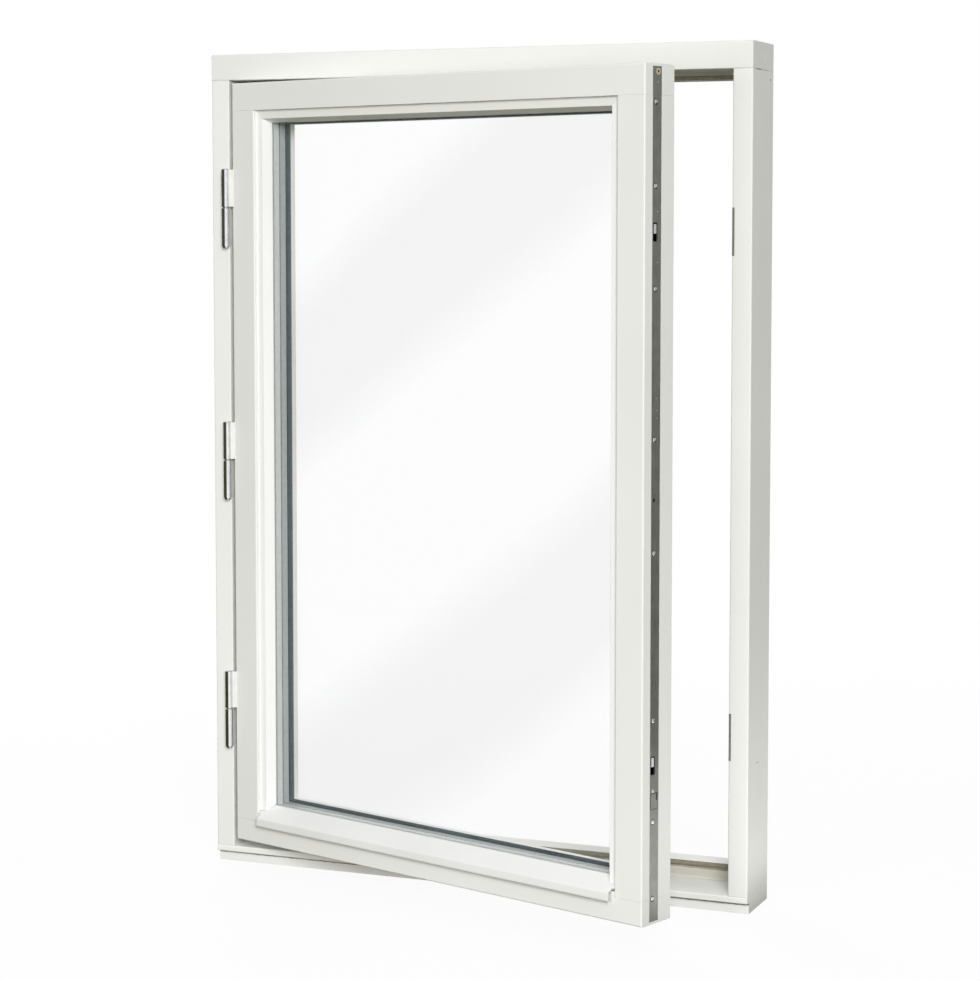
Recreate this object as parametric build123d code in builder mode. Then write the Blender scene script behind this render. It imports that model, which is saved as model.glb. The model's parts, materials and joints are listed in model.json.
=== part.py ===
from build123d import *
import os

# Outer frame, in millimetres: x from the left edge, d from the outside face inwards, z from the bottom
frame_width = 880.0
frame_height = 1280.0
frame_depth = 105.0
jamb_face = 30.0
head_face = 40.0
stop_projection = 12.0
timber_arris = 2.0

# Sill: set back strip, overhanging nose, weathered top and upstand
strip_height = 16.0
strip_setback = 9.0
nose_height = 10.0
sill_rise = 4.0
upstand_height = 26.0
foot_cove = 3.0

# Sash and the gaps round it when shut
open_angle = 18.2
hinge_gap = 5.0
lock_gap = 8.5
head_gap = 5.0
sill_gap = 13.0
stop_gap = 5.0
stile_face = 48.0
top_rail_face = 43.0
bottom_rail_face = 35.0
joint_chamfer = 0.4

# Weather seal in the rebate of the frame
seal_width = 6.0
seal_air = 0.5
seal_inset = 0.5
seal_round = 1.8
kerf_height = 5.0
kerf_depth = 4.0

# Glazing: three panes held between outside beads and an inside lip
bead_recess = 6.0
bead_face = 13.2
bead_splay = 6.0
bead_depth = 15.5
bead_arris = 0.8
outer_seal = 1.5
pane = 4.0
pane_gap = 11.0
inner_gasket = 1.5
lip_depth = 8.5
lip_side = 7.0
lip_top = 2.0
lip_bottom = 4.5
glass_edge_air = 4.0
spacer_setback = 3.0
spacer_sight = 1.0
seal_sight = 0.5
gasket_sight = 0.5

# Drip bead across the bottom of the glass
rebate_floor = 43.0
drip_sight = 61.5
drip_front = 42.0
drip_tip = 29.0
drip_reach = 9.0
drip_wall = 2.5
drip_end_air = 4.0
drip_joint = 0.8

# Three lift off hinges
hinge_first = 238.0
hinge_pitch = 396.5
hinge_count = 3
barrel_radius = 6.0
barrel_proud = 1.0
axis_from_arris = 4.0
knuckle = 60.0
knuckle_air = 0.6
knuckle_tip = 3.0
tip_slope = 2.0
cap_bevel = 1.2
pin_radius = 3.5
pin_length = 44.0
pin_clearance = 0.05
pin_end_air = 3.0
leaf = 2.5
leaf_reach = 30.0
crank_front = (4.0, 1.0)
crank_back = (2.0, 4.1)
crank_turn = 0.6

# Locking gear in the lock stile and strikers in the lock jamb
plate_width = 20.0
plate_thickness = 2.5
plate_from_face = 18.0
plate_end = 3.5
gear_line = 7.0
slot_width = 11.0
slot_height = 26.0
slot_from_top = (217.0, 958.5)
slot_corner = 2.5
case_depth = 22.0
case_margin = 2.0
hook_thickness = 5.5
hook_height = 13.0
hook_recess = 0.5
hook_nose = 6.0
gear_holes = ((592.0, 1.4), (600.0, 3.0))
bush_from_top = 10.5
bush_line = 11.8
bush_radius = 4.5
bush_bore = 2.2
bush_proud = 1.0
striker_length = 70.0
striker_reach = 40.0
striker_thickness = 3.5
striker_slot_length = 42.0
striker_slot_width = 14.0
striker_pocket = 12.0
striker_corner = 2.0

# Inside handle
handle_from_top = 600.0
handle_backset = 42.0
rose_width = 30.0
rose_height = 74.0
rose_depth = 9.0
rose_corner = 3.0
rose_bevel = 1.5
neck_radius = 7.0
neck_length = 17.0
lever_length = 86.0
lever_height = 16.0
lever_depth = 12.0
lever_bevel = 2.5

# Sizes that follow from those above
sill_front = strip_height + nose_height
sill_foot = sill_front + sill_rise
sill_stop_top = sill_foot + upstand_height
head_soffit = frame_height - head_face
head_stop = head_soffit - stop_projection
clear_left = jamb_face
clear_right = frame_width - jamb_face
sash_left = clear_left + hinge_gap
sash_right = clear_right - lock_gap
sash_width = sash_right - sash_left
sash_bottom = sill_front + sill_gap
sash_top = head_soffit - head_gap
sash_height = sash_top - sash_bottom
stile_top = sash_height - top_rail_face
bead_back = bead_recess + bead_depth
glass_front = bead_back + outer_seal
unit_depth = 3 * pane + 2 * pane_gap
glass_back = glass_front + unit_depth
lip_front = glass_back + inner_gasket
sash_thickness = lip_front + lip_depth
stop_front = sash_thickness + stop_gap
sight = bead_face + bead_splay
sight_left = stile_face + sight
sight_right = sash_width - sight_left
sight_top = stile_top - sight
rebate_left = stile_face
rebate_right = sash_width - stile_face
lip_left = sight_left + lip_side
lip_right = sight_right - lip_side
lip_low = drip_sight + lip_bottom
lip_high = sight_top - lip_top
glass_left = rebate_left + glass_edge_air
glass_right = rebate_right - glass_edge_air
glass_bottom = rebate_floor + glass_edge_air
glass_top = stile_top - glass_edge_air
axis_x = clear_left - axis_from_arris
axis_d = -barrel_radius - barrel_proud
bore_radius = pin_radius + pin_clearance
slot_middle_d = plate_from_face + gear_line

datum = Plane(origin=(-frame_width / 2, -frame_depth / 2, 0))
sash_datum = Plane(origin=datum.from_local_coords((sash_left, 0, sash_bottom)))
axis_foot = datum.from_local_coords((axis_x, axis_d, 0))
hinge_axis = Axis(axis_foot, (0, 0, 1))
split_heights = [frame_height - hinge_first - i * hinge_pitch for i in range(hinge_count)]
slot_middles = [sash_height - top - slot_height / 2 for top in slot_from_top]
striker_middles = [sash_bottom + middle for middle in slot_middles]

os.makedirs("parts", exist_ok=True)


def section_at(base, x):
    """Cross section plane at x: sketch axes are depth and height."""
    return Plane(origin=base.from_local_coords((x, 0, 0)), x_dir=(0, 1, 0), z_dir=(1, 0, 0))


def facing(base, d):
    """Plane facing the room at depth d: sketch axes are width and height."""
    return Plane(origin=base.from_local_coords((0, d, 0)), x_dir=(1, 0, 0), z_dir=(0, -1, 0))


def outline(points):
    """Closed polygon in the open sketch."""
    Polygon(*points, align=None)


def rect(x0, y0, x1, y1):
    """Rectangle between two corners in the open sketch."""
    with Locations(((x0 + x1) / 2, (y0 + y1) / 2)):
        Rectangle(abs(x1 - x0), abs(y1 - y0))


def keep(piece, name):
    """Write a piece of the fixed frame."""
    piece.part.label = name
    export_step(piece.part, f"parts/{name}.step")


def keep_hung(piece, name):
    """Swing a piece of the sash open about the hinge line and write it."""
    opened = piece.part.rotate(hinge_axis, -open_angle)
    opened.label = name
    export_step(opened, f"parts/{name}.step")


# Groove beside the weather seal, cut all round the stops
seal_outer_left = clear_left + stop_projection - seal_inset - seal_width
seal_outer_right = frame_width - seal_outer_left
seal_outer_top = head_stop + seal_inset + seal_width
seal_outer_bottom = sill_stop_top - seal_inset - seal_width
with BuildPart() as seal_kerf:
    with BuildSketch(facing(datum, stop_front + kerf_depth)):
        rect(clear_left, seal_outer_bottom - kerf_height, clear_right, head_soffit)
        with Locations((frame_width / 2, (seal_outer_bottom + seal_outer_top) / 2)):
            Rectangle(
                seal_outer_right - seal_outer_left,
                seal_outer_top - seal_outer_bottom,
                mode=Mode.SUBTRACT,
            )
    extrude(amount=kerf_depth)

# Sill: full width strip and nose, with the weathered top and upstand between the jambs
with BuildPart() as frame_sill:
    with BuildSketch(section_at(datum, 0)):
        outline(
            [
                (strip_setback, 0),
                (frame_depth, 0),
                (frame_depth, sill_front),
                (0, sill_front),
                (0, strip_height),
                (strip_setback, strip_height),
            ]
        )
    extrude(amount=frame_width)
    fillet(frame_sill.edges().filter_by(Axis.X).group_by(Axis.Y)[0], timber_arris)
    with BuildSketch(section_at(datum, clear_left)):
        outline(
            [
                (timber_arris, sill_front),
                (stop_front, sill_foot),
                (stop_front, sill_stop_top),
                (frame_depth, sill_stop_top),
                (frame_depth, sill_front),
            ]
        )
    extrude(amount=clear_right - clear_left)
    upstand_front = frame_sill.faces().filter_by(Axis.Y).sort_by(Axis.Z)[-2:].sort_by(Axis.Y)[0]
    upstand_edges = upstand_front.edges().filter_by(Axis.X).sort_by(Axis.Z)
    fillet(upstand_edges[0], foot_cove)
    fillet(upstand_edges[-1], timber_arris)
    add(seal_kerf.part, mode=Mode.SUBTRACT)
keep(frame_sill, "frame_sill")

# Head: full width over the jambs, with its stop between them
with BuildPart() as frame_head:
    with BuildSketch(section_at(datum, 0)):
        rect(0, head_soffit, frame_depth, frame_height)
    extrude(amount=frame_width)
    head_edges = frame_head.edges().filter_by(Axis.X).group_by(Axis.Y)[0]
    fillet(head_edges, timber_arris)
    with BuildSketch(section_at(datum, clear_left)):
        rect(stop_front, head_stop, frame_depth, head_soffit)
    extrude(amount=clear_right - clear_left)
    add(seal_kerf.part, mode=Mode.SUBTRACT)
keep(frame_head, "frame_head")


def jamb(outer, inner, side):
    """Jamb between head and sill; side is +1 on the hinge jamb and -1 on the lock jamb."""
    with BuildPart() as post:
        with BuildSketch(datum.offset(sill_front)):
            rect(outer, 0, inner, frame_depth)
        extrude(amount=head_soffit - sill_front)
        fillet(post.edges().filter_by(Axis.Z).group_by(Axis.Y)[0], timber_arris)
        for post_end in post.faces().filter_by(Axis.Z):
            chamfer(post_end.edges(), joint_chamfer)
        with BuildSketch(datum.offset(sill_stop_top)):
            rect(inner, stop_front, inner + side * stop_projection, frame_depth)
        extrude(amount=head_stop - sill_stop_top)
        add(seal_kerf.part, mode=Mode.SUBTRACT)
    return post


hinge_post = jamb(0, clear_left, 1)
with BuildPart() as frame_hinge_jamb:
    add(hinge_post.part)
    for split_z in split_heights:
        with BuildSketch(datum.offset(split_z - knuckle_air / 2 - knuckle)):
            rect(clear_left - leaf, 0, clear_left, leaf_reach)
        extrude(amount=knuckle - cap_bevel, mode=Mode.SUBTRACT)
keep(frame_hinge_jamb, "frame_hinge_jamb")

lock_post = jamb(frame_width, clear_right, -1)
with BuildPart() as frame_lock_jamb:
    add(lock_post.part)
    for middle in striker_middles:
        with BuildSketch(datum.offset(middle - striker_length / 2)):
            rect(clear_right, 0, clear_right + striker_thickness, striker_reach)
        extrude(amount=striker_length, mode=Mode.SUBTRACT)
        with BuildSketch(section_at(datum, clear_right)):
            with Locations((slot_middle_d, middle)):
                Rectangle(striker_slot_width, striker_slot_length)
        extrude(amount=striker_thickness + striker_pocket, mode=Mode.SUBTRACT)
keep(frame_lock_jamb, "frame_lock_jamb")

# Weather seal: one mitred loop on the front of the stops
with BuildPart() as frame_seal:
    with BuildSketch(facing(datum, stop_front)):
        rect(seal_outer_left, seal_outer_bottom, seal_outer_right, seal_outer_top)
        with Locations((frame_width / 2, (seal_outer_bottom + seal_outer_top) / 2)):
            Rectangle(
                seal_outer_right - seal_outer_left - 2 * seal_width,
                seal_outer_top - seal_outer_bottom - 2 * seal_width,
                mode=Mode.SUBTRACT,
            )
    extrude(amount=stop_gap - seal_air)
    fillet(frame_seal.faces().sort_by(Axis.Y)[0].edges(), seal_round)
keep(frame_seal, "frame_seal")

for name, middle in zip(("upper", "lower"), striker_middles):
    with BuildPart() as striker:
        with BuildSketch(section_at(datum, clear_right)):
            rect(0, middle - striker_length / 2, striker_reach, middle + striker_length / 2)
            with Locations((slot_middle_d, middle)):
                RectangleRounded(
                    striker_slot_width, striker_slot_length, striker_corner, mode=Mode.SUBTRACT
                )
        extrude(amount=striker_thickness)
    keep(striker, f"{name}_striker_plate")

# Hinges: the lower knuckle with its pin is let into the jamb, the upper one into the sash
for name, split_z in zip(("top", "middle", "bottom"), split_heights):
    low = split_z - knuckle_air / 2 - knuckle
    high = split_z + knuckle_air / 2
    with BuildPart() as frame_leaf:
        with BuildSketch(datum.offset(low - knuckle_tip)):
            with Locations((axis_x, axis_d)):
                Circle(barrel_radius)
        extrude(amount=knuckle + knuckle_tip)
        chamfer(frame_leaf.edges().filter_by(GeomType.CIRCLE).sort_by(Axis.Z)[0], knuckle_tip, tip_slope)
        chamfer(frame_leaf.edges().filter_by(GeomType.CIRCLE).sort_by(Axis.Z)[-1], cap_bevel)
        with BuildSketch(datum.offset(low)):
            rect(clear_left - leaf, axis_d, clear_left, leaf_reach)
        extrude(amount=knuckle - cap_bevel)
        with BuildSketch(datum.offset(low + knuckle)):
            with Locations((axis_x, axis_d)):
                Circle(pin_radius)
        extrude(amount=pin_length)
    keep(frame_leaf, f"{name}_hinge_frame_leaf")

    with BuildPart() as sash_leaf:
        with BuildSketch(datum.offset(high)):
            with Locations((axis_x, axis_d)):
                Circle(barrel_radius)
        extrude(amount=knuckle)
        chamfer(sash_leaf.edges().filter_by(GeomType.CIRCLE), cap_bevel)
        with BuildSketch(datum.offset(high + cap_bevel)):
            outline(
                [
                    (axis_x + crank_front[0], axis_d + crank_front[1]),
                    (sash_left + leaf, -crank_turn),
                    (sash_left + leaf, leaf_reach),
                    (sash_left, leaf_reach),
                    (sash_left, crank_turn),
                    (axis_x + crank_back[0], axis_d + crank_back[1]),
                ]
            )
        extrude(amount=knuckle - 2 * cap_bevel)
        with BuildSketch(datum.offset(high)):
            with Locations((axis_x, axis_d)):
                Circle(bore_radius)
        extrude(amount=pin_length + pin_end_air, mode=Mode.SUBTRACT)
    keep_hung(sash_leaf, f"{name}_hinge_sash_leaf")

# Sash timbers, drawn shut: the rails run the full width, the stiles stand between them,
# and a groove for the faceplate runs down the lock edge of all three
with BuildPart() as plate_groove:
    with BuildSketch(sash_datum.offset(plate_end)):
        rect(
            sash_width - plate_thickness,
            plate_from_face,
            sash_width,
            plate_from_face + plate_width,
        )
    extrude(amount=sash_height - 2 * plate_end)

with BuildPart() as sash_top_rail:
    with BuildSketch(sash_datum.offset(stile_top)):
        rect(0, 0, sash_width, sash_thickness)
    extrude(amount=top_rail_face)
    rail_front = sash_top_rail.faces().sort_by(Axis.Y)[0]
    fillet(rail_front.edges().sort_by(Axis.Z)[1:], timber_arris)
    rail_front = sash_top_rail.faces().sort_by(Axis.Y)[0]
    chamfer(rail_front.edges().sort_by(Axis.Z)[0], joint_chamfer)
    with BuildSketch(sash_datum.offset(lip_high)):
        rect(rebate_left, lip_front, rebate_right, sash_thickness)
    extrude(amount=stile_top - lip_high)
    add(plate_groove.part, mode=Mode.SUBTRACT)
keep_hung(sash_top_rail, "sash_top_rail")

with BuildPart() as sash_bottom_rail:
    with BuildSketch(sash_datum):
        rect(0, 0, sash_width, sash_thickness)
    extrude(amount=bottom_rail_face)
    rail_front = sash_bottom_rail.faces().sort_by(Axis.Y)[0]
    fillet(rail_front.edges().sort_by(Axis.Z)[:-1], timber_arris)
    with BuildSketch(section_at(sash_datum, rebate_left)):
        outline(
            [
                (0, bottom_rail_face),
                (sash_thickness, bottom_rail_face),
                (sash_thickness, lip_low),
                (lip_front, lip_low),
                (lip_front, rebate_floor),
                (0, rebate_floor),
            ]
        )
    extrude(amount=rebate_right - rebate_left)
    add(plate_groove.part, mode=Mode.SUBTRACT)
keep_hung(sash_bottom_rail, "sash_bottom_rail")


def stile(outer, inner, lip_edge):
    """Stile between the rails with its inside glazing lip."""
    with BuildPart() as post:
        with BuildSketch(sash_datum.offset(bottom_rail_face)):
            rect(outer, 0, inner, sash_thickness)
        extrude(amount=stile_top - bottom_rail_face)
        stile_front = post.faces().sort_by(Axis.Y)[0]
        fillet(stile_front.edges().filter_by(Axis.Z), timber_arris)
        stile_front = post.faces().sort_by(Axis.Y)[0]
        chamfer(stile_front.edges().filter_by(Axis.X), joint_chamfer)
        with BuildSketch(sash_datum.offset(lip_low)):
            rect(inner, lip_front, lip_edge, sash_thickness)
        extrude(amount=lip_high - lip_low)
    return post


hinge_stile_post = stile(0, rebate_left, lip_left)
with BuildPart() as sash_hinge_stile:
    add(hinge_stile_post.part)
    for split_z in split_heights:
        with BuildSketch(datum.offset(split_z + knuckle_air / 2 + cap_bevel)):
            rect(sash_left, 0, sash_left + leaf, leaf_reach)
        extrude(amount=knuckle - 2 * cap_bevel, mode=Mode.SUBTRACT)
keep_hung(sash_hinge_stile, "sash_hinge_stile")

lock_stile_post = stile(sash_width, rebate_right, lip_right)
case_back = sash_width - plate_thickness - case_depth
with BuildPart() as sash_lock_stile:
    add(lock_stile_post.part)
    add(plate_groove.part, mode=Mode.SUBTRACT)
    for middle in slot_middles:
        with BuildSketch(section_at(sash_datum, case_back)):
            with Locations((slot_middle_d, middle)):
                Rectangle(slot_width + 2 * case_margin, slot_height + 2 * case_margin)
        extrude(amount=case_depth, mode=Mode.SUBTRACT)
    for drop, radius in gear_holes:
        with BuildSketch(section_at(sash_datum, case_back)):
            with Locations((slot_middle_d, sash_height - drop)):
                Circle(radius)
        extrude(amount=case_depth, mode=Mode.SUBTRACT)
keep_hung(sash_lock_stile, "sash_lock_stile")

# Outside glazing beads: mitred at the top corners, cut to the slope of the drip bead below
drip_slope = (drip_sight - drip_front) / (bead_back + drip_reach)
mitre_left = Plane(origin=sash_datum.from_local_coords((rebate_left, 0, stile_top)), z_dir=(1, 0, 1))
mitre_right = Plane(origin=sash_datum.from_local_coords((rebate_right, 0, stile_top)), z_dir=(-1, 0, 1))
drip_cut = Plane(
    origin=sash_datum.from_local_coords((0, bead_back, drip_sight + drip_joint)),
    z_dir=(0, -drip_slope, 1),
)
with BuildPart() as top_glazing_bead:
    with BuildSketch(section_at(sash_datum, rebate_left)):
        outline(
            [
                (bead_recess, stile_top),
                (bead_recess, stile_top - bead_face),
                (bead_back, sight_top),
                (bead_back, stile_top),
            ]
        )
    extrude(amount=rebate_right - rebate_left)
    bead_nose = top_glazing_bead.edges().filter_by(Axis.X).group_by(Axis.Y)[0].sort_by(Axis.Z)[0]
    fillet(bead_nose, bead_arris)
    split(bisect_by=mitre_left, keep=Keep.TOP)
    split(bisect_by=mitre_right, keep=Keep.TOP)
keep_hung(top_glazing_bead, "top_glazing_bead")


def side_bead(wall, side, mitre):
    """Side bead against the rebate wall; side is +1 on the hinge side and -1 on the lock side."""
    with BuildPart() as bead:
        with BuildSketch(sash_datum.offset(rebate_floor)):
            outline(
                [
                    (wall, bead_recess),
                    (wall + side * bead_face, bead_recess),
                    (wall + side * sight, bead_back),
                    (wall, bead_back),
                ]
            )
        extrude(amount=stile_top - rebate_floor)
        nose_edges = bead.edges().filter_by(Axis.Z).group_by(Axis.Y)[0]
        fillet(nose_edges.sort_by(Axis.X)[-1 if side > 0 else 0], bead_arris)
        split(bisect_by=mitre, keep=Keep.BOTTOM)
        split(bisect_by=drip_cut, keep=Keep.TOP)
    return bead


hinge_side_bead = side_bead(rebate_left, 1, mitre_left)
keep_hung(hinge_side_bead, "hinge_side_glazing_bead")
lock_side_bead = side_bead(rebate_right, -1, mitre_right)
keep_hung(lock_side_bead, "lock_side_glazing_bead")

# Drip bead: thin channel that slopes from the glass out over the bottom rail
with BuildPart() as bottom_drip_bead:
    with BuildSketch(section_at(sash_datum, rebate_left + drip_joint)):
        outline(
            [
                (bead_back, rebate_floor),
                (bead_back, drip_sight),
                (-drip_reach, drip_front),
                (-drip_reach, drip_tip),
                (drip_wall - drip_reach, drip_tip),
                (drip_wall - drip_reach, drip_front + drip_slope * drip_wall - drip_wall),
                (bead_back - drip_wall, drip_sight - drip_slope * drip_wall - drip_wall),
                (bead_back - drip_wall, rebate_floor),
            ]
        )
    extrude(amount=rebate_right - rebate_left - 2 * drip_joint)
    nose_edges = bottom_drip_bead.edges().filter_by(Axis.X).group_by(Axis.Y)[0]
    fillet(nose_edges, bead_arris)
    with BuildSketch(sash_datum.offset(drip_tip)):
        rect(rebate_left, -drip_reach, rebate_left + drip_end_air, 0)
        rect(rebate_right - drip_end_air, -drip_reach, rebate_right, 0)
    extrude(amount=drip_sight - drip_tip, mode=Mode.SUBTRACT)
keep_hung(bottom_drip_bead, "bottom_drip_bead")

# Sealed unit: panes, spacer bars and the seals that hold it
pane_step = pane + pane_gap


def ring(front, depth, outer_cut, opening, cover):
    """Flat loop from outer_cut inside the glass edge to cover outside an opening."""
    left, low, right, high = opening
    with BuildPart() as loop:
        with BuildSketch(facing(sash_datum, front + depth)):
            rect(
                glass_left + outer_cut,
                glass_bottom + outer_cut,
                glass_right - outer_cut,
                glass_top - outer_cut,
            )
            with Locations(((left + right) / 2, (low + high) / 2)):
                Rectangle(right - left + 2 * cover, high - low + 2 * cover, mode=Mode.SUBTRACT)
        extrude(amount=depth)
    return loop


outer_opening = (sight_left, drip_sight, sight_right, sight_top)
lip_opening = (lip_left, lip_low, lip_right, lip_high)
for i, name in enumerate(("outer_pane", "middle_pane", "inner_pane")):
    with BuildPart() as sheet:
        with BuildSketch(facing(sash_datum, glass_front + i * pane_step + pane)):
            rect(glass_left, glass_bottom, glass_right, glass_top)
        extrude(amount=pane)
    keep_hung(sheet, name)

for i, name in enumerate(("outer_spacer", "inner_spacer")):
    spacer = ring(
        glass_front + pane + i * pane_step,
        pane_gap,
        spacer_setback,
        outer_opening,
        spacer_sight,
    )
    keep_hung(spacer, name)

outer_seal_ring = ring(bead_back, outer_seal, 0, outer_opening, seal_sight)
keep_hung(outer_seal_ring, "outer_glazing_seal")
inner_gasket_ring = ring(glass_back, inner_gasket, 0, lip_opening, gasket_sight)
keep_hung(inner_gasket_ring, "inner_glazing_gasket")

# Locking gear: faceplate, hook bolts drawn back in their slots, and the bush at the top
with BuildPart() as espagnolette_faceplate:
    with BuildSketch(section_at(sash_datum, sash_width - plate_thickness)):
        rect(
            plate_from_face,
            plate_end,
            plate_from_face + plate_width,
            sash_height - plate_end,
        )
        for middle in slot_middles:
            with Locations((slot_middle_d, middle)):
                RectangleRounded(slot_width, slot_height, slot_corner, mode=Mode.SUBTRACT)
        for drop, radius in gear_holes:
            with Locations((slot_middle_d, sash_height - drop)):
                Circle(radius, mode=Mode.SUBTRACT)
    extrude(amount=plate_thickness)
keep_hung(espagnolette_faceplate, "espagnolette_faceplate")

for name, middle in zip(("upper", "lower"), slot_middles):
    hook_top = middle + slot_height / 2 - case_margin
    with BuildPart() as hook:
        with BuildSketch(facing(sash_datum, slot_middle_d + hook_thickness / 2)):
            outline(
                [
                    (case_back, hook_top),
                    (sash_width - hook_recess, hook_top),
                    (sash_width - hook_recess, hook_top - hook_height),
                    (sash_width - hook_recess - hook_nose, hook_top - hook_height),
                    (sash_width - hook_recess - hook_nose, hook_top - hook_nose),
                    (case_back, hook_top - hook_nose),
                ]
            )
        extrude(amount=hook_thickness)
        fillet(hook.edges().filter_by(Axis.Y).sort_by(Axis.X)[-2:], joint_chamfer)
    keep_hung(hook, f"{name}_hook_bolt")

with BuildPart() as faceplate_bush:
    with BuildSketch(section_at(sash_datum, sash_width)):
        with Locations((plate_from_face + bush_line, sash_height - bush_from_top)):
            Circle(bush_radius)
            Circle(bush_bore, mode=Mode.SUBTRACT)
    extrude(amount=bush_proud)
keep_hung(faceplate_bush, "faceplate_bush")

# Inside handle, turned to the open position
handle_x = sash_width - handle_backset
handle_z = sash_height - handle_from_top
with BuildPart() as handle_rose:
    with BuildSketch(facing(sash_datum, sash_thickness + rose_depth)):
        with Locations((handle_x, handle_z)):
            RectangleRounded(rose_width, rose_height, rose_corner)
    extrude(amount=rose_depth)
    chamfer(handle_rose.faces().sort_by(Axis.Y)[-1].edges(), rose_bevel)
keep_hung(handle_rose, "handle_rose")

lever_front = sash_thickness + rose_depth + neck_length
with BuildPart() as handle_neck:
    with BuildSketch(facing(sash_datum, lever_front)):
        with Locations((handle_x, handle_z)):
            Circle(neck_radius)
    extrude(amount=neck_length)
keep_hung(handle_neck, "handle_neck")

with BuildPart() as handle_lever:
    with BuildSketch(facing(sash_datum, lever_front + lever_depth)):
        with Locations((handle_x - lever_length / 2 + lever_height / 2, handle_z)):
            SlotOverall(lever_length, lever_height)
    extrude(amount=lever_depth)
    for flat in handle_lever.faces().filter_by(Axis.Y):
        chamfer(flat.edges(), lever_bevel)
keep_hung(handle_lever, "handle_lever")
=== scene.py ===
import json
import math

import bmesh
import bpy
from mathutils import Matrix, Vector


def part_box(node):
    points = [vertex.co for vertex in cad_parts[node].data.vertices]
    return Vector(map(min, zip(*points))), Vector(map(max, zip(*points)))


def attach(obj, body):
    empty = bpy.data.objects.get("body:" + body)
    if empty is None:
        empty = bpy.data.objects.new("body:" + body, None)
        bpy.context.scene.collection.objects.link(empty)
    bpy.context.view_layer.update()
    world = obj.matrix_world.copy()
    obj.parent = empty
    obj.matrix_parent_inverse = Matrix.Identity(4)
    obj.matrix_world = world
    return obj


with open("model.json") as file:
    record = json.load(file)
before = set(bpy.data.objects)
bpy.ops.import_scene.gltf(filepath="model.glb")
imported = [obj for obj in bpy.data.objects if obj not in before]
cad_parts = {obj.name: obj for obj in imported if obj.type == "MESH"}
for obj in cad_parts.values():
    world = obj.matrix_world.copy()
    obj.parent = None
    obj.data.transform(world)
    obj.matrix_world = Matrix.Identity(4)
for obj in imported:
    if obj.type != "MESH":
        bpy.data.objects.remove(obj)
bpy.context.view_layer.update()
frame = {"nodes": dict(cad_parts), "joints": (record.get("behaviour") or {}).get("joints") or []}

nodes = frame["nodes"]

# The sash stands ajar at rest: swing_open takes a point of the shut sash to where it is now
hinge = frame["joints"][0]
hinge_point = Vector(hinge["pos_m"])
open_angle = -hinge["range_deg"][0]
turn = Matrix.Rotation(math.radians(-open_angle), 4, "Z")
swing_open = Matrix.Translation(hinge_point) @ turn @ Matrix.Translation(-hinge_point)
swing_shut = swing_open.inverted()

# Camera: place in metres, angles in degrees, lens in millimetres
camera_place = (1.4988, -3.644, 1.0152)
camera_yaw = 22.229
camera_down = 4.166
camera_lens = 94.386
camera_rise = -0.08

# Light: sky colours by direction, bands where they blend, lamps in metres, watts and degrees, and the floor
sky_plain = (0.18, 0.18, 0.168)
sky_left = (0.075, 0.074, 0.055)
sky_right = (0.30, 0.30, 0.30)
sky_back = (0.85, 0.85, 0.85)
sky_shine = (1.15, 1.15, 1.15)
sky_above = (0.48, 0.48, 0.48)
sky_below = (0.060, 0.057, 0.014)
white = (1.0, 1.0, 1.0)
sky_bands = {
    "left": ("X", -0.30, 0.10), "right": ("X", 0.30, 0.75), "back": ("Y", 0.62, 0.85),
    "above": ("Z", 0.35, 0.80), "below": ("Z", -0.16, -0.04),
    "shine_start": ("X", 0.08, 0.24), "shine_end": ("Y", 0.05, 0.25),
}
lights = {
    "right_key": {
        "place": (2.96, -5.57, 2.75), "aim": (0, 0, 0.65),
        "size": 2.4, "power": 332, "spread": 180, "mirrored": False,
    },
    "left_fill": {
        "place": (-1.0, -4.9, 1.0), "aim": (0, 0, 0.65),
        "size": 1.4, "power": 56, "spread": 180, "mirrored": False,
    },
    "low_front": {
        "place": (-0.1, -2.6, 0.3), "aim": (0, -0.1, 0.05),
        "size": 0.7, "power": 0.7, "spread": 50, "mirrored": False,
    },
    "back_fill": {
        "place": (-3.0, 3.6, 1.4), "aim": (0, 0, 0.65),
        "size": 2.4, "power": 165, "spread": 180, "mirrored": False,
    },
    "floor_bounce": {
        "place": (0.86, 0.04, 0.001), "aim": (0.86, 0.04, 1),
        "size": 0.7, "power": 1.8, "spread": 180, "mirrored": True,
    },
}
floor_radius = 3.4
floor_segments = 96
floor_fade = (0.6, 3.0)
floor_glow = 0.93

# Marks and dirt on the paint, and painted shade on the sill: centre, half size, colour and how many ragged
# bits a metre
frame_marks = (
    ((0.440, -0.0235, 1.2402), (0.004, 0.0260, 0.0011), (0.10, 0.095, 0.080), 400),
    ((0.440, 0.0120, 1.2405), (0.004, 0.0180, 0.0007), (0.45, 0.440, 0.400), 400),
    ((0.440, 0.0367, 1.2274), (0.004, 0.0040, 0.0018), (0.25, 0.240, 0.200), 400),
    ((0.440, 0.0095, 1.2580), (0.004, 0.0030, 0.0080), (0.95, 0.950, 0.930), 400),
    ((0.440, -0.0040, 0.2190), (0.004, 0.0090, 0.0016), (0.55, 0.540, 0.490), 400),
)
# Painted shade on the sill, each laid on as a mark
sill_shade_marks = (
    # Darker brown band on the upstand below the seal: painted shade
    ((0.400, 0.0195, 0.0380), (0.420, 0.0080, 0.0160), (0.52, 0.500, 0.435), 30),
    # Brown line in the seal kerf: painted shade
    ((0.100, 0.0225, 0.0470), (1.200, 0.0050, 0.0036), (0.34, 0.310, 0.230), 60),
    # Dark line under the sill nose: painted shadow
    ((0.100, -0.0435, 0.0140), (1.200, 0.0030, 0.0022), (0.13, 0.115, 0.080), 150),
)

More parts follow.
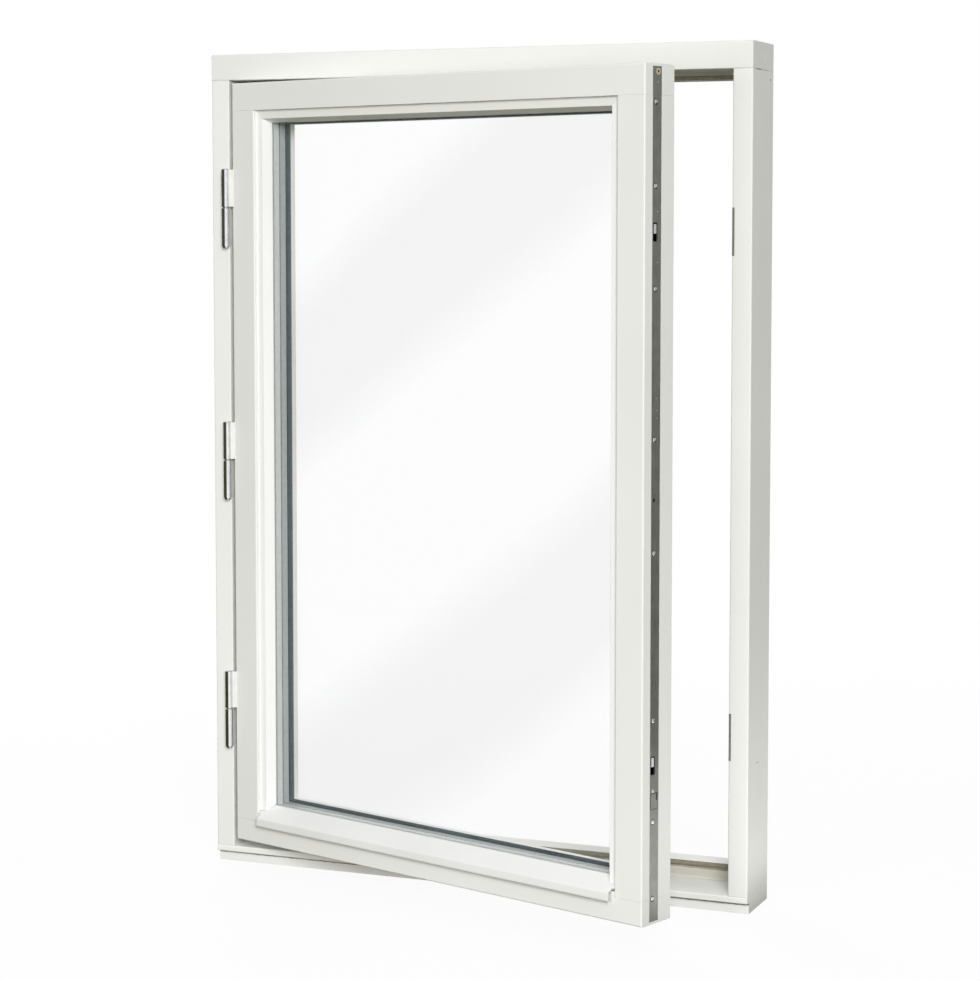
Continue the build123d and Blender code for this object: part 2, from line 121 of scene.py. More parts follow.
# Fasteners on the faceplate, in metres: drops go down from the sash top, lines in from the plate's front
plate_line = 0.007
bush_line = 0.0118
screw_drops = (0.052, 0.167, 0.308, 0.516, 0.674, 0.908, 1.051, 1.160)
screw_radius = 0.0034
screw_proud = 0.0008
small_screw_drop = 1.007
small_screw_radius = 0.0026
seat_shadow_radius = 0.0045
shade_disc_proud = 0.00015
dot_drops = (0.025, 0.202, 0.272, 0.459, 0.476, 0.487)
dot_radius = 0.0011
dot_proud = 0.0003
gear_holes = ((0.592, 0.0013), (0.600, 0.0029))
hole_sink = 0.0003
bush_hole = (0.0105, 0.0021)
coupling_drops = (1.011, 1.033)
coupling_margin = 0.0018
coupling_proud = 0.0004
coupling_rim = 0.0006
notch_drops = (1.0115, 1.0215)
notch_lines = (0.0138, 0.0170)
case_margin = 0.002
case_half = 0.0070
case_wall = 0.0005
slot_height = 0.026

# Fasteners on the hinges, strikers and beads, in metres
leaf_screw_radius = 0.0042
leaf_screw_count = 3
leaf_screw_depths = (0.017, 0.024)
frame_leaf_foot = 0.003
frame_leaf_height = 0.060
sash_leaf_height = 0.058
striker_screw_inset = 0.0075
striker_screw_depth = 0.028
pin_radius = 0.0012
pin_proud = 0.0003
pin_heights = (0.063, 0.186, 0.336, 0.514, 0.692, 0.870, 1.020)
bead_nose = 0.0002

# Turn of the first cross recess in a row, and the step to the next, in radians
plate_turns = (0.0, 0.7)
frame_leaf_turns = (0.5, 1.0)
sash_leaf_turns = (0.0, 0.9)
striker_turns = (0.4, 1.0)

# Shape of a head: radius and height of each ring, then arm, half width and height of the recess
screw_profile = ((1.0, 0.0), (1.0, 0.35), (0.86, 0.80), (0.62, 1.0))
dome_profile = ((1.0, 0.0), (0.92, 0.55), (0.55, 0.92))
recess_mouth = (0.46, 0.13, 1.0)
recess_root = (0.34, 0.08, 0.25)
head_segments = 24
sharp_angle = 32


def shut_box(*names):
    """Box round sash nodes, as if the sash were shut."""
    points = [swing_shut @ v.co for name in names for v in nodes[name].data.vertices]
    low = Vector([min(p[i] for p in points) for i in range(3)])
    high = Vector([max(p[i] for p in points) for i in range(3)])
    return low, high


# Materials
plain_tones = ((0.815, 0.818, 0.785), (0.850, 0.853, 0.830))
# The head paint is the same white drawn darker: painted shade
head_shaded_tones = ((0.780, 0.783, 0.752), (0.812, 0.815, 0.793))
# The sill paint is the same white drawn lighter: painted light on its top
sill_lit_tones = ((0.850, 0.853, 0.825), (0.880, 0.883, 0.862))
# The bead paint is the same white drawn lighter: painted light
bead_lit_tones = ((0.900, 0.905, 0.895), (0.930, 0.930, 0.920))
leaf_tones = ((0.770, 0.775, 0.740), (0.830, 0.830, 0.800))
coat_tones = ((0.800, 0.810, 0.790), (0.850, 0.855, 0.840))
enamel_tones = ((0.820, 0.820, 0.800), (0.860, 0.860, 0.845))
floor_tones = ((0.900, 0.900, 0.900), (0.930, 0.930, 0.930))
# Glass colour in slanting bands: painted reflection
reflection_tones = ((0.966, 0.969, 0.967), (0.995, 0.997, 0.996))
reflection_slant = 125.7
reflection_scale = 0.5665
reflection_phase = 3.457
glass_bending = 1.2
upright_grain = (260, 260, 5)
level_grain = (5, 260, 260)
drawn_grain = (500, 500, 8)
turned_grain = (30, 30, 500)
fine_grain = (300, 300, 300)
barrel_edge = (0.0061, 0.0064)
paint_softness = 0.0007
metal_softness = 0.0005
enamel_softness = 0.0008
drip_softness = 0.0045


def new_material(name):
    """Empty node material with its shader and object coordinates."""
    material = bpy.data.materials.new(name)
    material.use_nodes = True
    tree = material.node_tree
    shader = tree.nodes["Principled BSDF"]
    place = tree.nodes.new("ShaderNodeTexCoord").outputs["Object"]
    return material, tree, shader, place


def stretched(tree, place, scale, turned=0.0):
    """Coordinates scaled along each axis, after a turn about Z in degrees."""
    mapping = tree.nodes.new("ShaderNodeMapping")
    mapping.vector_type = "TEXTURE"
    mapping.inputs["Rotation"].default_value = (0, 0, math.radians(turned))
    mapping.inputs["Scale"].default_value = [1 / s for s in scale]
    tree.links.new(place, mapping.inputs["Vector"])
    return mapping.outputs["Vector"]


def noise(tree, place, scale, detail=3.0, roughness=0.55):
    """Noise value, 0 to 1, at that many cells a metre."""
    texture = tree.nodes.new("ShaderNodeTexNoise")
    texture.inputs["Scale"].default_value = scale
    texture.inputs["Detail"].default_value = detail
    texture.inputs["Roughness"].default_value = roughness
    tree.links.new(place, texture.inputs["Vector"])
    return texture.outputs["Fac"]


def ramp(tree, value, stops):
    """Colour ramp through stops of position and colour."""
    node = tree.nodes.new("ShaderNodeValToRGB")
    elements = node.color_ramp.elements
    while len(elements) < len(stops):
        elements.new(0.5)
    for element, (position, colour) in zip(elements, stops):
        element.position = position
        element.color = (*colour, 1)
    tree.links.new(value, node.inputs["Fac"])
    return node.outputs["Color"]


def drift_between(tree, value, tones, start=0.3, end=0.7):
    """Colour that passes from one tone to the other."""
    return ramp(tree, value, [(start, tones[0]), (end, tones[1])])


def spread(tree, value, low, high):
    """Value between about 0.3 and 0.7 spread from low to high."""
    node = tree.nodes.new("ShaderNodeMapRange")
    node.inputs["From Min"].default_value = 0.3
    node.inputs["From Max"].default_value = 0.7
    node.inputs["To Min"].default_value = low
    node.inputs["To Max"].default_value = high
    tree.links.new(value, node.inputs["Value"])
    return node.outputs["Result"]


def bump(tree, height, distance, strength, normal=None):
    """Bump of that height in metres on top of an earlier normal."""
    node = tree.nodes.new("ShaderNodeBump")
    node.inputs["Strength"].default_value = strength
    node.inputs["Distance"].default_value = distance
    tree.links.new(height, node.inputs["Height"])
    if normal is not None:
        tree.links.new(normal, node.inputs["Normal"])
    return node.outputs["Normal"]


def soft_edges(tree, radius):
    """Normal that rounds sharp edges by a small radius."""
    node = tree.nodes.new("ShaderNodeBevel")
    node.samples = 4
    node.inputs["Radius"].default_value = radius
    return node.outputs["Normal"]


def marked(tree, place, colour, centre, half, tint, ragged):
    """Colour with a ragged mark of that half size laid over it."""
    mapping = tree.nodes.new("ShaderNodeMapping")
    mapping.vector_type = "TEXTURE"
    mapping.inputs["Location"].default_value = centre
    mapping.inputs["Scale"].default_value = half
    tree.links.new(place, mapping.inputs["Vector"])
    reach = tree.nodes.new("ShaderNodeVectorMath")
    reach.operation = "LENGTH"
    tree.links.new(mapping.outputs["Vector"], reach.inputs[0])
    cover = tree.nodes.new("ShaderNodeMapRange")
    cover.inputs["From Max"].default_value = 0.3
    tree.links.new(spread(tree, noise(tree, place, ragged), 0.7, 1.3), cover.inputs["From Min"])
    tree.links.new(reach.outputs["Value"], cover.inputs["Value"])
    mix = tree.nodes.new("ShaderNodeMix")
    mix.data_type = "RGBA"
    mix.inputs[7].default_value = (*tint, 1)
    tree.links.new(cover.outputs["Result"], mix.inputs["Factor"])
    tree.links.new(colour, mix.inputs[6])
    return mix.outputs[2]


def painted_timber(name, grain, turned=0.0, tones=plain_tones, marks=()):
    """Satin white paint: brush drag along the grain, a little orange peel and a faint drift of tone."""
    material, tree, shader, place = new_material(name)
    along = stretched(tree, place, grain, turned)
    drag = noise(tree, along, 1.0, 4.0)
    peel = noise(tree, place, 650.0, 2.0)
    drift = noise(tree, place, 3.5, 2.0)
    colour = drift_between(tree, drift, tones)
    for mark in marks:
        colour = marked(tree, place, colour, *mark)
    tree.links.new(colour, shader.inputs["Base Color"])
    tree.links.new(spread(tree, drag, 0.36, 0.48), shader.inputs["Roughness"])
    shader.inputs["Specular IOR Level"].default_value = 0.3
    normal = soft_edges(tree, paint_softness)
    normal = bump(tree, drag, 0.0003, 0.10, normal)
    normal = bump(tree, peel, 0.0002, 0.06, normal)
    tree.links.new(normal, shader.inputs["Normal"])
    return material


def powder_coat(name):
    """White powder coat with a fine pebbled skin."""
    material, tree, shader, place = new_material(name)
    pebble = noise(tree, place, 900.0, 2.0)
    drift = noise(tree, place, 5.0, 2.0)
    tree.links.new(drift_between(tree, drift, coat_tones), shader.inputs["Base Color"])
    tree.links.new(spread(tree, pebble, 0.30, 0.42), shader.inputs["Roughness"])
    normal = bump(tree, pebble, 0.0002, 0.12, soft_edges(tree, drip_softness))
    tree.links.new(normal, shader.inputs["Normal"])
    return material


def metal(name, dark, light, grain, gloss, bare=1.0):
    """Plated or brushed metal: lines along the grain, cloudy plating; bare is 1 without a dull film."""
    material, tree, shader, place = new_material(name)
    lines = noise(tree, stretched(tree, place, grain), 1.0, 3.0)
    cloud = noise(tree, place, 55.0, 4.0)
    tree.links.new(drift_between(tree, cloud, (dark, light)), shader.inputs["Base Color"])
    tree.links.new(spread(tree, lines, *gloss), shader.inputs["Roughness"])
    shader.inputs["Metallic"].default_value = bare
    normal = bump(tree, lines, 0.00012, 0.15, soft_edges(tree, metal_softness))
    tree.links.new(normal, shader.inputs["Normal"])
    return material


def hinge_metal(name, dark, light):
    """Bright zinc on the barrel, with the leaf beside it pale and not metallic."""
    material, tree, shader, place = new_material(name)
    across = tree.nodes.new("ShaderNodeVectorMath")
    across.operation = "DISTANCE"
    flat = tree.nodes.new("ShaderNodeVectorMath")
    flat.operation = "MULTIPLY"
    flat.inputs[1].default_value = (1, 1, 0)
    tree.links.new(place, flat.inputs[0])
    tree.links.new(flat.outputs["Vector"], across.inputs[0])
    across.inputs[1].default_value = (hinge_point.x, hinge_point.y, 0)
    # painted: share of the leaf past the barrel's edge, drawn pale and not metallic
    painted = tree.nodes.new("ShaderNodeMapRange")
    painted.inputs["From Min"].default_value = barrel_edge[0]
    painted.inputs["From Max"].default_value = barrel_edge[1]
    tree.links.new(across.outputs["Value"], painted.inputs["Value"])
    bare = tree.nodes.new("ShaderNodeMapRange")
    bare.inputs["From Min"].default_value = barrel_edge[1]
    bare.inputs["From Max"].default_value = barrel_edge[0]
    tree.links.new(across.outputs["Value"], bare.inputs["Value"])
    cloud = noise(tree, place, 70.0, 4.0)
    lines = noise(tree, stretched(tree, place, turned_grain), 1.0, 3.0)
    mix = tree.nodes.new("ShaderNodeMix")
    mix.data_type = "RGBA"
    tree.links.new(painted.outputs["Result"], mix.inputs["Factor"])
    tree.links.new(drift_between(tree, cloud, (dark, light)), mix.inputs[6])
    tree.links.new(drift_between(tree, cloud, leaf_tones), mix.inputs[7])
    tree.links.new(mix.outputs[2], shader.inputs["Base Color"])
    tree.links.new(bare.outputs["Result"], shader.inputs["Metallic"])
    tree.links.new(spread(tree, lines, 0.06, 0.12), shader.inputs["Roughness"])
    normal = bump(tree, lines, 0.00012, 0.06, soft_edges(tree, metal_softness))
    tree.links.new(normal, shader.inputs["Normal"])
    return material


def float_glass(name):
    """Clear float glass, its colour lighter and darker in broad slanting bands: a painted reflection."""
    material, tree, shader, place = new_material(name)
    mapping = tree.nodes.new("ShaderNodeMapping")
    mapping.inputs["Rotation"].default_value = (0, math.radians(reflection_slant), 0)
    tree.links.new(place, mapping.inputs["Vector"])
    bands = tree.nodes.new("ShaderNodeTexWave")
    bands.inputs["Scale"].default_value = reflection_scale
    bands.inputs["Phase Offset"].default_value = reflection_phase
    bands.inputs["Distortion"].default_value = 0.6
    bands.inputs["Detail Scale"].default_value = 2.0
    tree.links.new(mapping.outputs["Vector"], bands.inputs["Vector"])
    # film: the slanting bands, a painted reflection
    film = bands.outputs["Fac"]
    colour = drift_between(tree, film, reflection_tones, 0.10, 0.55)
    tree.links.new(colour, shader.inputs["Base Color"])
    tree.links.new(spread(tree, film, 0.004, 0.0), shader.inputs["Roughness"])
    shader.inputs["Transmission Weight"].default_value = 1.0
    shader.inputs["IOR"].default_value = glass_bending
    return material


def rubber(name, dark, light, rough):
    """Matt rubber with a dusty bloom."""
    material, tree, shader, place = new_material(name)
    bloom = noise(tree, place, 120.0, 4.0)
    tree.links.new(drift_between(tree, bloom, (dark, light), 0.35), shader.inputs["Base Color"])
    tree.links.new(spread(tree, bloom, rough, rough + 0.15), shader.inputs["Roughness"])
    tree.links.new(bump(tree, bloom, 0.0002, 0.15), shader.inputs["Normal"])
    return material


def enamel(name):
    """Glossy white enamel with slight casting waves."""
    material, tree, shader, place = new_material(name)
    wave = noise(tree, place, 40.0, 2.0)
    tree.links.new(drift_between(tree, wave, enamel_tones), shader.inputs["Base Color"])
    tree.links.new(spread(tree, wave, 0.18, 0.28), shader.inputs["Roughness"])
    normal = bump(tree, wave, 0.0003, 0.10, soft_edges(tree, enamel_softness))
    tree.links.new(normal, shader.inputs["Normal"])
    return material


looks = {
    "jamb_paint": painted_timber("painted_jamb", upright_grain, marks=frame_marks),
    "head_paint": painted_timber("painted_head", level_grain, tones=head_shaded_tones, marks=frame_marks),
    "sill_paint": painted_timber("painted_sill", level_grain, tones=sill_lit_tones, marks=sill_shade_marks),
    "stile_paint": painted_timber("painted_stile", upright_grain),
    "rail_paint": painted_timber("painted_rail", level_grain, -open_angle),
    "bead_paint": painted_timber("painted_bead", upright_grain, tones=bead_lit_tones),
    "drip": powder_coat("white_powder_coat"),
    "glass": float_glass("clear_float_glass"),
    "outer_spacer": rubber("pale_spacer_bar", (0.62, 0.65, 0.64), (0.68, 0.71, 0.70), 0.40),
    # Inner spacer: the same bar drawn darker than the outer one, as painted shade
    "inner_spacer": rubber("shaded_grey_spacer_bar", (0.42, 0.46, 0.46), (0.48, 0.52, 0.52), 0.40),
    "seal": rubber("olive_weather_seal", (0.200, 0.185, 0.130), (0.270, 0.250, 0.180), 0.55),
    "gasket": rubber("slate_glazing_gasket", (0.065, 0.092, 0.102), (0.100, 0.132, 0.142), 0.50),
    "tape": rubber("pale_glazing_tape", (0.58, 0.59, 0.58), (0.66, 0.67, 0.66), 0.60),
    "zinc": hinge_metal("bright_zinc_hinge", (0.66, 0.68, 0.71), (0.80, 0.81, 0.82)),
    "steel": metal(
        "satin_grey_steel", (0.27, 0.27, 0.257), (0.335, 0.335, 0.32), drawn_grain, (0.26, 0.38), 0.75),
    "screw": metal("bright_screw_steel", (0.66, 0.66, 0.66), (0.82, 0.82, 0.82), fine_grain, (0.18, 0.30)),
    "bolt": metal("bright_bolt_steel", (0.84, 0.84, 0.83), (0.95, 0.95, 0.94), fine_grain, (0.46, 0.60)),
    # Near-black steel for painted shade: screw seat rings, lock cases in the slots, hole bottoms and the
    # coupling rim
    "black": metal("near_black_shade_steel", (0.05, 0.05, 0.048), (0.10, 0.10, 0.095), fine_grain, (0.40, 0.60)),
    "brass": metal("pale_brass", (0.88, 0.80, 0.50), (0.96, 0.90, 0.64), fine_grain, (0.44, 0.58)),
    "enamel": enamel("white_enamel"),
}


def look_of(name):
    """Material of a CAD node, by its name."""
    if name.endswith("hinge_frame_leaf") or name.endswith("hinge_sash_leaf"):
        return looks["zinc"]
    if name.endswith("striker_plate") or name == "espagnolette_faceplate":
        return looks["steel"]
    if name.endswith("hook_bolt"):
        return looks["bolt"]
    if name == "faceplate_bush":
        return looks["brass"]
    if name.endswith("pane"):
        return looks["glass"]
    if name.endswith("_spacer"):
        return looks[name]
    if name == "frame_seal":
        return looks["seal"]
    if name == "inner_glazing_gasket":
        return looks["gasket"]
    if name == "outer_glazing_seal":
        return looks["tape"]
    if name == "bottom_drip_bead":
        return looks["drip"]
    if name.startswith("handle"):
        return looks["enamel"]
    if name.endswith("side_glazing_bead"):
        return looks["bead_paint"]
    if name == "frame_sill":
        return looks["sill_paint"]
    if name == "frame_head":
        return looks["head_paint"]
    if name.endswith("jamb"):
        return looks["jamb_paint"]
    if name in ("sash_top_rail", "sash_bottom_rail", "top_glazing_bead"):
        return looks["rail_paint"]
    return looks["stile_paint"]


for name, node in nodes.items():
    node.data.materials.clear()
    node.data.materials.append(look_of(name))
    if name.endswith("pane"):
        node.visible_shadow = False
        node.visible_diffuse = False


# Fasteners
def on_face(centre, normal, spin=0.0):
    """Matrix that stands local +Z on a face at that point."""
    stand = Vector(normal).to_track_quat("Z", "Y").to_matrix().to_4x4()
    return Matrix.Translation(centre) @ stand @ Matrix.Rotation(spin, 4, "Z")


def circle(mesh, radius, height, count):
    """Ring of points."""
    steps = [2 * math.pi * i / count for i in range(count)]
    return [mesh.verts.new((radius * math.cos(a), radius * math.sin(a), height)) for a in steps]


def bridge(mesh, lower, upper):
    """Quads between two rings of the same count."""
    for i in range(len(lower)):
        j = (i + 1) % len(lower)
        mesh.faces.new((lower[i], lower[j], upper[j], upper[i]))


def cross(mesh, arm, half, height):
    """Outline of a cross recess."""
    corner = [(arm, -half), (arm, half), (half, half)]
    points = []
    for quarter in range(4):
        c, s = (1, 0, -1, 0)[quarter], (0, 1, 0, -1)[quarter]
        points += [mesh.verts.new((x * c - y * s, x * s + y * c, height)) for x, y in corner]
    return points


def turned_head(mesh, profile, radius, proud):
    """Rings of a round head, joined up and closed below."""
    rings = [circle(mesh, r * radius, h * proud, head_segments) for r, h in profile]
    for lower, upper in zip(rings, rings[1:]):
        bridge(mesh, lower, upper)
    mesh.faces.new(list(reversed(rings[0])))
    return rings


def recess(mesh, shape, radius, proud):
    """Outline of the recess in a head of that size."""
    arm, half, height = shape
    return cross(mesh, arm * radius, half * radius, height * proud)


def add_screw(mesh, matrix, radius, proud):
    """Raised countersunk head with a cross recess."""
    rings = turned_head(mesh, screw_profile, radius, proud)
    mouth = recess(mesh, recess_mouth, radius, proud)
    root = recess(mesh, recess_root, radius, proud)
    rim = rings[-1]
    loops = [mesh.edges.get((rim[i], rim[i - 1])) for i in range(len(rim))]
    loops += [mesh.edges.new((mouth[i], mouth[i - 1])) for i in range(len(mouth))]
    bmesh.ops.triangle_fill(mesh, edges=loops, use_beauty=True, normal=(0, 0, 1))
    bridge(mesh, root, mouth)
    mesh.faces.new(root)
    made = [v for ring in rings for v in ring] + mouth + root
    bmesh.ops.transform(mesh, matrix=matrix, verts=made)


def add_dome(mesh, matrix, radius, proud):
    """Low domed head without a recess."""
    rings = turned_head(mesh, dome_profile, radius, proud)
    mesh.faces.new(rings[-1])
    bmesh.ops.transform(mesh, matrix=matrix, verts=[v for ring in rings for v in ring])


def stretch_box(mesh, low, high):
    """Corners of a box between two points."""
    made = bmesh.ops.create_cube(mesh, size=1.0)["verts"]
    middle, size = (low + high) / 2, high - low
    for v in made:
        v.co = middle + Vector([v.co[i] * size[i] for i in range(3)])
    return made


def add_plate(mesh, low, high, edge):
    """Bevelled box between two corners."""
    made = stretch_box(mesh, low, high)
    edges = {e for v in made for e in v.link_edges}
    bmesh.ops.bevel(mesh, geom=list(edges), offset=edge, segments=2, affect="EDGES")


def piece(name, mesh, material, body, place=None):
    """Finish a piece, give it its material and hang it on its body."""
    bmesh.ops.recalc_face_normals(mesh, faces=mesh.faces)
    data = bpy.data.meshes.new(name)
    mesh.to_mesh(data)
    mesh.free()
    if place is not None:
        data.transform(place)
    for polygon in data.polygons:
        polygon.use_smooth = True
    data.set_sharp_from_angle(angle=math.radians(sharp_angle))
    data.materials.append(material)
    obj = bpy.data.objects.new(name, data)
    bpy.context.scene.collection.objects.link(obj)
    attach(obj, body)
    return obj


def screw_row(spots, normal, turns, radius):
    """Mesh with a screw at each spot, their recesses turned one after another."""
    mesh = bmesh.new()
    for i, spot in enumerate(spots):
        add_screw(mesh, on_face(spot, normal, turns[0] + turns[1] * i), radius, screw_proud)
    return mesh


# Screws, rivets and coupling plate on the lock faceplate
plate_low, plate_high = shut_box("espagnolette_faceplate")
sash_low, sash_high = shut_box("sash_top_rail", "sash_bottom_rail")
right = (1, 0, 0)
left = (-1, 0, 0)


def on_plate(drop, line, proud=0.0):
    """Point on the face of the faceplate, or proud of it."""
    return Vector((plate_high.x + proud, plate_low.y + line, sash_high.z - drop))


mesh = screw_row([on_plate(drop, plate_line) for drop in screw_drops], right, plate_turns, screw_radius)
add_screw(mesh, on_face(on_plate(small_screw_drop, plate_line), right), small_screw_radius, screw_proud)
piece("faceplate_screws", mesh, looks["screw"], "sash", swing_open)

# Painted shadow: a dark ring under each screw head, standing in for shade in its countersunk seat
mesh = bmesh.new()
for drop in screw_drops:
    add_dome(mesh, on_face(on_plate(drop, plate_line), right), seat_shadow_radius, shade_disc_proud)
piece("faceplate_screw_shadow_rings", mesh, looks["black"], "sash", swing_open)

# Cases of the lock behind the slots of the faceplate, drawn near-black: painted shade inside the slots
for level in ("upper", "lower"):
    hook_low, hook_high = shut_box(f"{level}_hook_bolt")
    slot_y = (hook_low.y + hook_high.y) / 2
    slot_top = hook_high.z + case_margin
    case_low = Vector((hook_low.x + case_wall, slot_y - case_half, slot_top - slot_height - case_wall))
    case_high = Vector((plate_low.x - case_wall, slot_y + case_half, slot_top + case_wall))
    mesh = bmesh.new()
    stretch_box(mesh, case_low, case_high)
    mesh.faces.ensure_lookup_table()
    mouth = max(mesh.faces, key=lambda f: f.calc_center_median().x)
    bmesh.ops.delete(mesh, geom=[mouth], context="FACES_ONLY")
    bmesh.ops.recalc_face_normals(mesh, faces=mesh.faces)
    bmesh.ops.solidify(mesh, geom=list(mesh.faces), thickness=case_wall / 2)
    piece(f"{level}_lock_case_shade", mesh, looks["black"], "sash", swing_open)

mesh = bmesh.new()
for drop in dot_drops:
    add_dome(mesh, on_face(on_plate(drop, bush_line), right), dot_radius, dot_proud)
piece("faceplate_rivets", mesh, looks["screw"], "sash", swing_open)

# Painted shade: dark discs at the bottoms of the small gear holes and in the bush
mesh = bmesh.new()
plate_back = plate_low.x - plate_high.x
for drop, radius in gear_holes:
    spot = on_plate(drop, plate_line, plate_back + hole_sink)
    add_dome(mesh, on_face(spot, right), radius, shade_disc_proud)
add_dome(mesh, on_face(on_plate(bush_hole[0], bush_line), right), bush_hole[1], shade_disc_proud)
piece("faceplate_hole_shade_discs", mesh, looks["black"], "sash", swing_open)

plate_width = plate_high.y - plate_low.y
coupling_low = on_plate(coupling_drops[1], coupling_margin, -coupling_proud)
coupling_high = on_plate(coupling_drops[0], plate_width - coupling_margin, coupling_proud)
mesh = bmesh.new()
add_plate(mesh, coupling_low, coupling_high, coupling_proud / 2)
piece("faceplate_coupling", mesh, looks["steel"], "sash", swing_open)
# Painted shade: a dark rim round the coupling plate and a dark notch on it
rim = Vector((0, coupling_rim, coupling_rim))
sink = Vector((coupling_proud / 2, 0, 0))
mesh = bmesh.new()
add_plate(mesh, coupling_low - rim, coupling_high + rim - sink, coupling_proud / 4)
notch_low = on_plate(notch_drops[1], notch_lines[0])
notch_high = on_plate(notch_drops[0], notch_lines[1], coupling_proud + shade_disc_proud)
add_plate(mesh, notch_low, notch_high, shade_disc_proud / 2)
piece("faceplate_coupling_shade_rim", mesh, looks["black"], "sash", swing_open)


# Screws in the hinge leaves and the striker plates
def leaf_spots(x, front, foot, height):
    """Staggered screw places up a hinge leaf."""
    steps = [height * (i + 0.5) / leaf_screw_count for i in range(leaf_screw_count)]
    return [(x, front + leaf_screw_depths[i % 2], foot + step) for i, step in enumerate(steps)]


frame_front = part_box("frame_hinge_jamb")[0].y
for level in ("top", "middle", "bottom"):
    leaf_low, leaf_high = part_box(f"{level}_hinge_frame_leaf")
    spots = leaf_spots(leaf_high.x, frame_front, leaf_low.z + frame_leaf_foot, frame_leaf_height)
    mesh = screw_row(spots, right, frame_leaf_turns, leaf_screw_radius)
    piece(f"{level}_hinge_frame_screws", mesh, looks["screw"], "frame")
    leaf_low, leaf_high = shut_box(f"{level}_hinge_sash_leaf")
    spots = leaf_spots(sash_low.x, sash_low.y, leaf_low.z, sash_leaf_height)
    mesh = screw_row(spots, left, sash_leaf_turns, leaf_screw_radius)
    piece(f"{level}_hinge_sash_screws", mesh, looks["screw"], "sash", swing_open)

for level in ("upper", "lower"):
    striker_low, striker_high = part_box(f"{level}_striker_plate")
    heights = (striker_low.z + striker_screw_inset, striker_high.z - striker_screw_inset)
    spots = [(striker_low.x, striker_low.y + striker_screw_depth, height) for height in heights]
    mesh = screw_row(spots, left, striker_turns, screw_radius)
    piece(f"{level}_striker_screws", mesh, looks["screw"], "frame")


# Filled pins on the sloping faces of the glazing beads
def pins(name, bead, side):
    """Row of pins up a side bead; side is +1 on the hinge side and -1 on the lock side."""
    points = [swing_shut @ v.co for v in nodes[bead].data.vertices]
    front = min(p.y for p in points)
    arris = max(side * p.x for p in points if p.y < front + bead_nose)
    back = max(p.y for p in points)
    edge = max(side * p.x for p in points)
    middle = Vector((side * (arris + edge) / 2, (front + back) / 2, 0))
    normal = Vector((side * (back - front), arris - edge, 0)).normalized()
    mesh = bmesh.new()
    for height in pin_heights:
        spot = middle + Vector((0, 0, sash_low.z + height))
        add_dome(mesh, on_face(spot, normal), pin_radius, pin_proud)
    return piece(name, mesh, looks["bead_paint"], "sash", swing_open)


pins("hinge_side_bead_pins", "hinge_side_glazing_bead", 1)
pins("lock_side_bead_pins", "lock_side_glazing_bead", -1)

# Floor
mesh = bmesh.new()
mesh.faces.new(circle(mesh, floor_radius, 0.0, floor_segments))
floor_mesh = bpy.data.meshes.new("floor")
mesh.to_mesh(floor_mesh)
mesh.free()
floor = bpy.data.objects.new("floor", floor_mesh)
bpy.context.scene.collection.objects.link(floor)
material, tree, shader, place = new_material("pale_floor")
tone = drift_between(tree, noise(tree, place, 2.0), floor_tones)
tree.links.new(tone, shader.inputs["Base Color"])
shader.inputs["Roughness"].default_value = 0.9
shader.inputs["Specular IOR Level"].default_value = 0.1
reach = tree.nodes.new("ShaderNodeVectorMath")
reach.operation = "LENGTH"
tree.links.new(place, reach.inputs[0])
fade = tree.nodes.new("ShaderNodeMapRange")
fade.interpolation_type = "SMOOTHSTEP"
fade.inputs["From Min"].default_value = floor_fade[0]
fade.inputs["From Max"].default_value = floor_fade[1]
fade.inputs["To Min"].default_value = floor_glow
tree.links.new(reach.outputs["Value"], fade.inputs["Value"])
glow = tree.nodes.new("ShaderNodeEmission")
faded = tree.nodes.new("ShaderNodeMixShader")
tree.links.new(fade.outputs["Result"], faded.inputs["Fac"])
tree.links.new(shader.outputs["BSDF"], faded.inputs[1])
tree.links.new(glow.outputs["Emission"], faded.inputs[2])
tree.links.new(faded.outputs["Shader"], tree.nodes["Material Output"].inputs["Surface"])
floor_mesh.materials.append(material)
floor.visible_diffuse = False
floor.visible_glossy = False
floor.visible_shadow = False

# Sky
world = bpy.data.worlds.new("studio")
bpy.context.scene.world = world
world.use_nodes = True
tree = world.node_tree
direction = tree.nodes.new("ShaderNodeTexCoord").outputs["Generated"]
split = tree.nodes.new("ShaderNodeSeparateXYZ")
tree.links.new(direction, split.inputs["Vector"])


def blend_sky(axis, start, end, low, high):
    """Colour that passes from low to high along an axis of the view direction."""
    share = tree.nodes.new("ShaderNodeMapRange")
    share.interpolation_type = "SMOOTHSTEP"
    share.inputs["From Min"].default_value = start
    share.inputs["From Max"].default_value = end
    tree.links.new(split.outputs[axis], share.inputs["Value"])
    mix = tree.nodes.new("ShaderNodeMix")
    mix.data_type = "RGBA"
    tree.links.new(share.outputs["Result"], mix.inputs["Factor"])
    for socket, colour in zip((mix.inputs[6], mix.inputs[7]), (low, high)):
        if isinstance(colour, tuple):
            socket.default_value = (*colour, 1)
        else:
            tree.links.new(colour, socket)
    return mix.outputs[2]


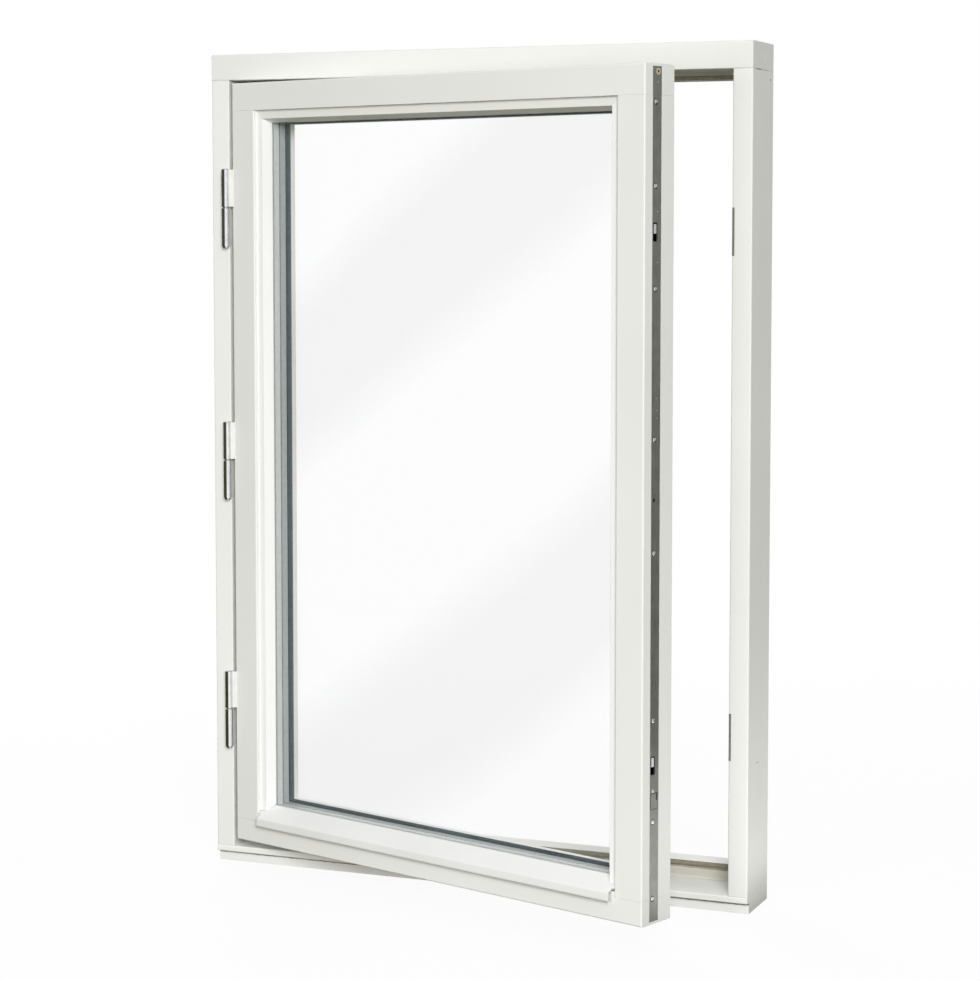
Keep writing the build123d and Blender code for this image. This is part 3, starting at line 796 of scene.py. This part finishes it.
sky = blend_sky(*sky_bands["left"], sky_left, sky_plain)
sky = blend_sky(*sky_bands["right"], sky, sky_right)
sky = blend_sky(*sky_bands["back"], sky, sky_back)
sky = blend_sky(*sky_bands["above"], sky, sky_above)
sky = blend_sky(*sky_bands["below"], sky_below, sky)
shine = blend_sky(*sky_bands["shine_start"], sky, sky_shine)
shine = blend_sky(*sky_bands["shine_end"], shine, sky)
path = tree.nodes.new("ShaderNodeLightPath")
mirrored = tree.nodes.new("ShaderNodeMix")
mirrored.data_type = "RGBA"
tree.links.new(path.outputs["Is Glossy Ray"], mirrored.inputs["Factor"])
tree.links.new(sky, mirrored.inputs[6])
tree.links.new(shine, mirrored.inputs[7])
tree.links.new(mirrored.outputs[2], tree.nodes["Background"].inputs["Color"])
backdrop = tree.nodes.new("ShaderNodeBackground")
backdrop.inputs["Color"].default_value = (*white, 1)
direct = tree.nodes.new("ShaderNodeMath")
direct.operation = "MAXIMUM"
tree.links.new(path.outputs["Is Camera Ray"], direct.inputs[0])
tree.links.new(path.outputs["Is Transmission Ray"], direct.inputs[1])
seen = tree.nodes.new("ShaderNodeMixShader")
tree.links.new(direct.outputs["Value"], seen.inputs["Fac"])
tree.links.new(tree.nodes["Background"].outputs["Background"], seen.inputs[1])
tree.links.new(backdrop.outputs["Background"], seen.inputs[2])
tree.links.new(seen.outputs["Shader"], tree.nodes["World Output"].inputs["Surface"])

# Lamps
for name, values in lights.items():
    lamp = bpy.data.lights.new(name, "AREA")
    lamp.size = values["size"]
    lamp.energy = values["power"]
    lamp.spread = math.radians(values["spread"])
    light = bpy.data.objects.new(name, lamp)
    light.location = values["place"]
    way = Vector(values["aim"]) - light.location
    light.rotation_euler = way.to_track_quat("-Z", "Y").to_euler()
    light.visible_camera = False
    light.visible_transmission = False
    light.visible_glossy = values["mirrored"]
    bpy.context.scene.collection.objects.link(light)

# Camera
lens = bpy.data.cameras.new("camera")
lens.lens = camera_lens
lens.shift_y = camera_rise
camera = bpy.data.objects.new("camera", lens)
camera.location = camera_place
camera.rotation_euler = (math.radians(90 - camera_down), 0, math.radians(camera_yaw))
bpy.context.scene.collection.objects.link(camera)
bpy.context.scene.camera = camera
bpy.context.scene.view_settings.view_transform = "Standard"
